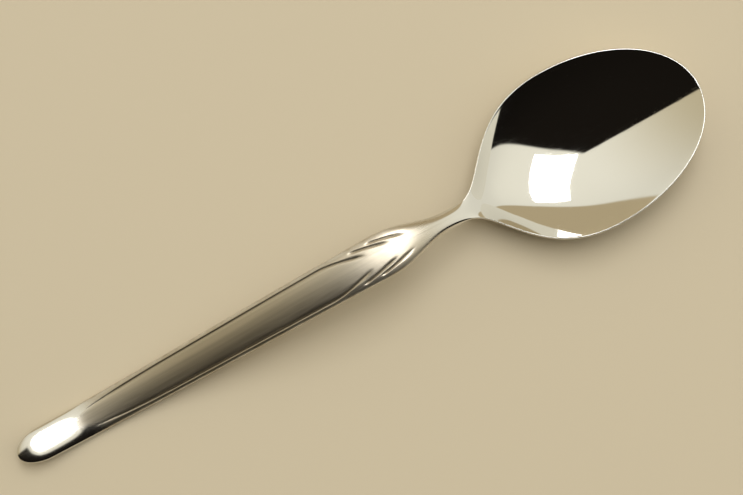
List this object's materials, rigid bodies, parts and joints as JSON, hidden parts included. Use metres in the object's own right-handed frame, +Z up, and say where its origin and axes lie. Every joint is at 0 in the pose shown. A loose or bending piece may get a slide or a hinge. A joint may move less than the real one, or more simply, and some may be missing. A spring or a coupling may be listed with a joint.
{
  "type": "dessert spoon",
  "caption": "Stainless steel dessert spoon with a deep oval mirror-polished bowl, a slim neck and a tapering satin handle with grooved borders and leaf lines.",
  "frame": {"origin": "on the table, under the middle of the spoon's length and width", "axes": "+X along the spoon from the end of the handle to the tip of the bowl, +Z up out of the open bowl, +Y to the left when looking along +X"},
  "size_m": [0.18, 0.04, 0.0163],
  "materials": {
    "mirror_steel": "mirror polish with hairline use marks",
    "satin_steel": "satin, brushed lengthwise, polished on the borders"
  },
  "bodies": {
    "root": {"bowl": "mirror_steel", "neck": "mirror_steel", "shoulder": "satin_steel", "handle": "satin_steel", "terminal": "mirror_steel"}
  },
  "joints": []
}
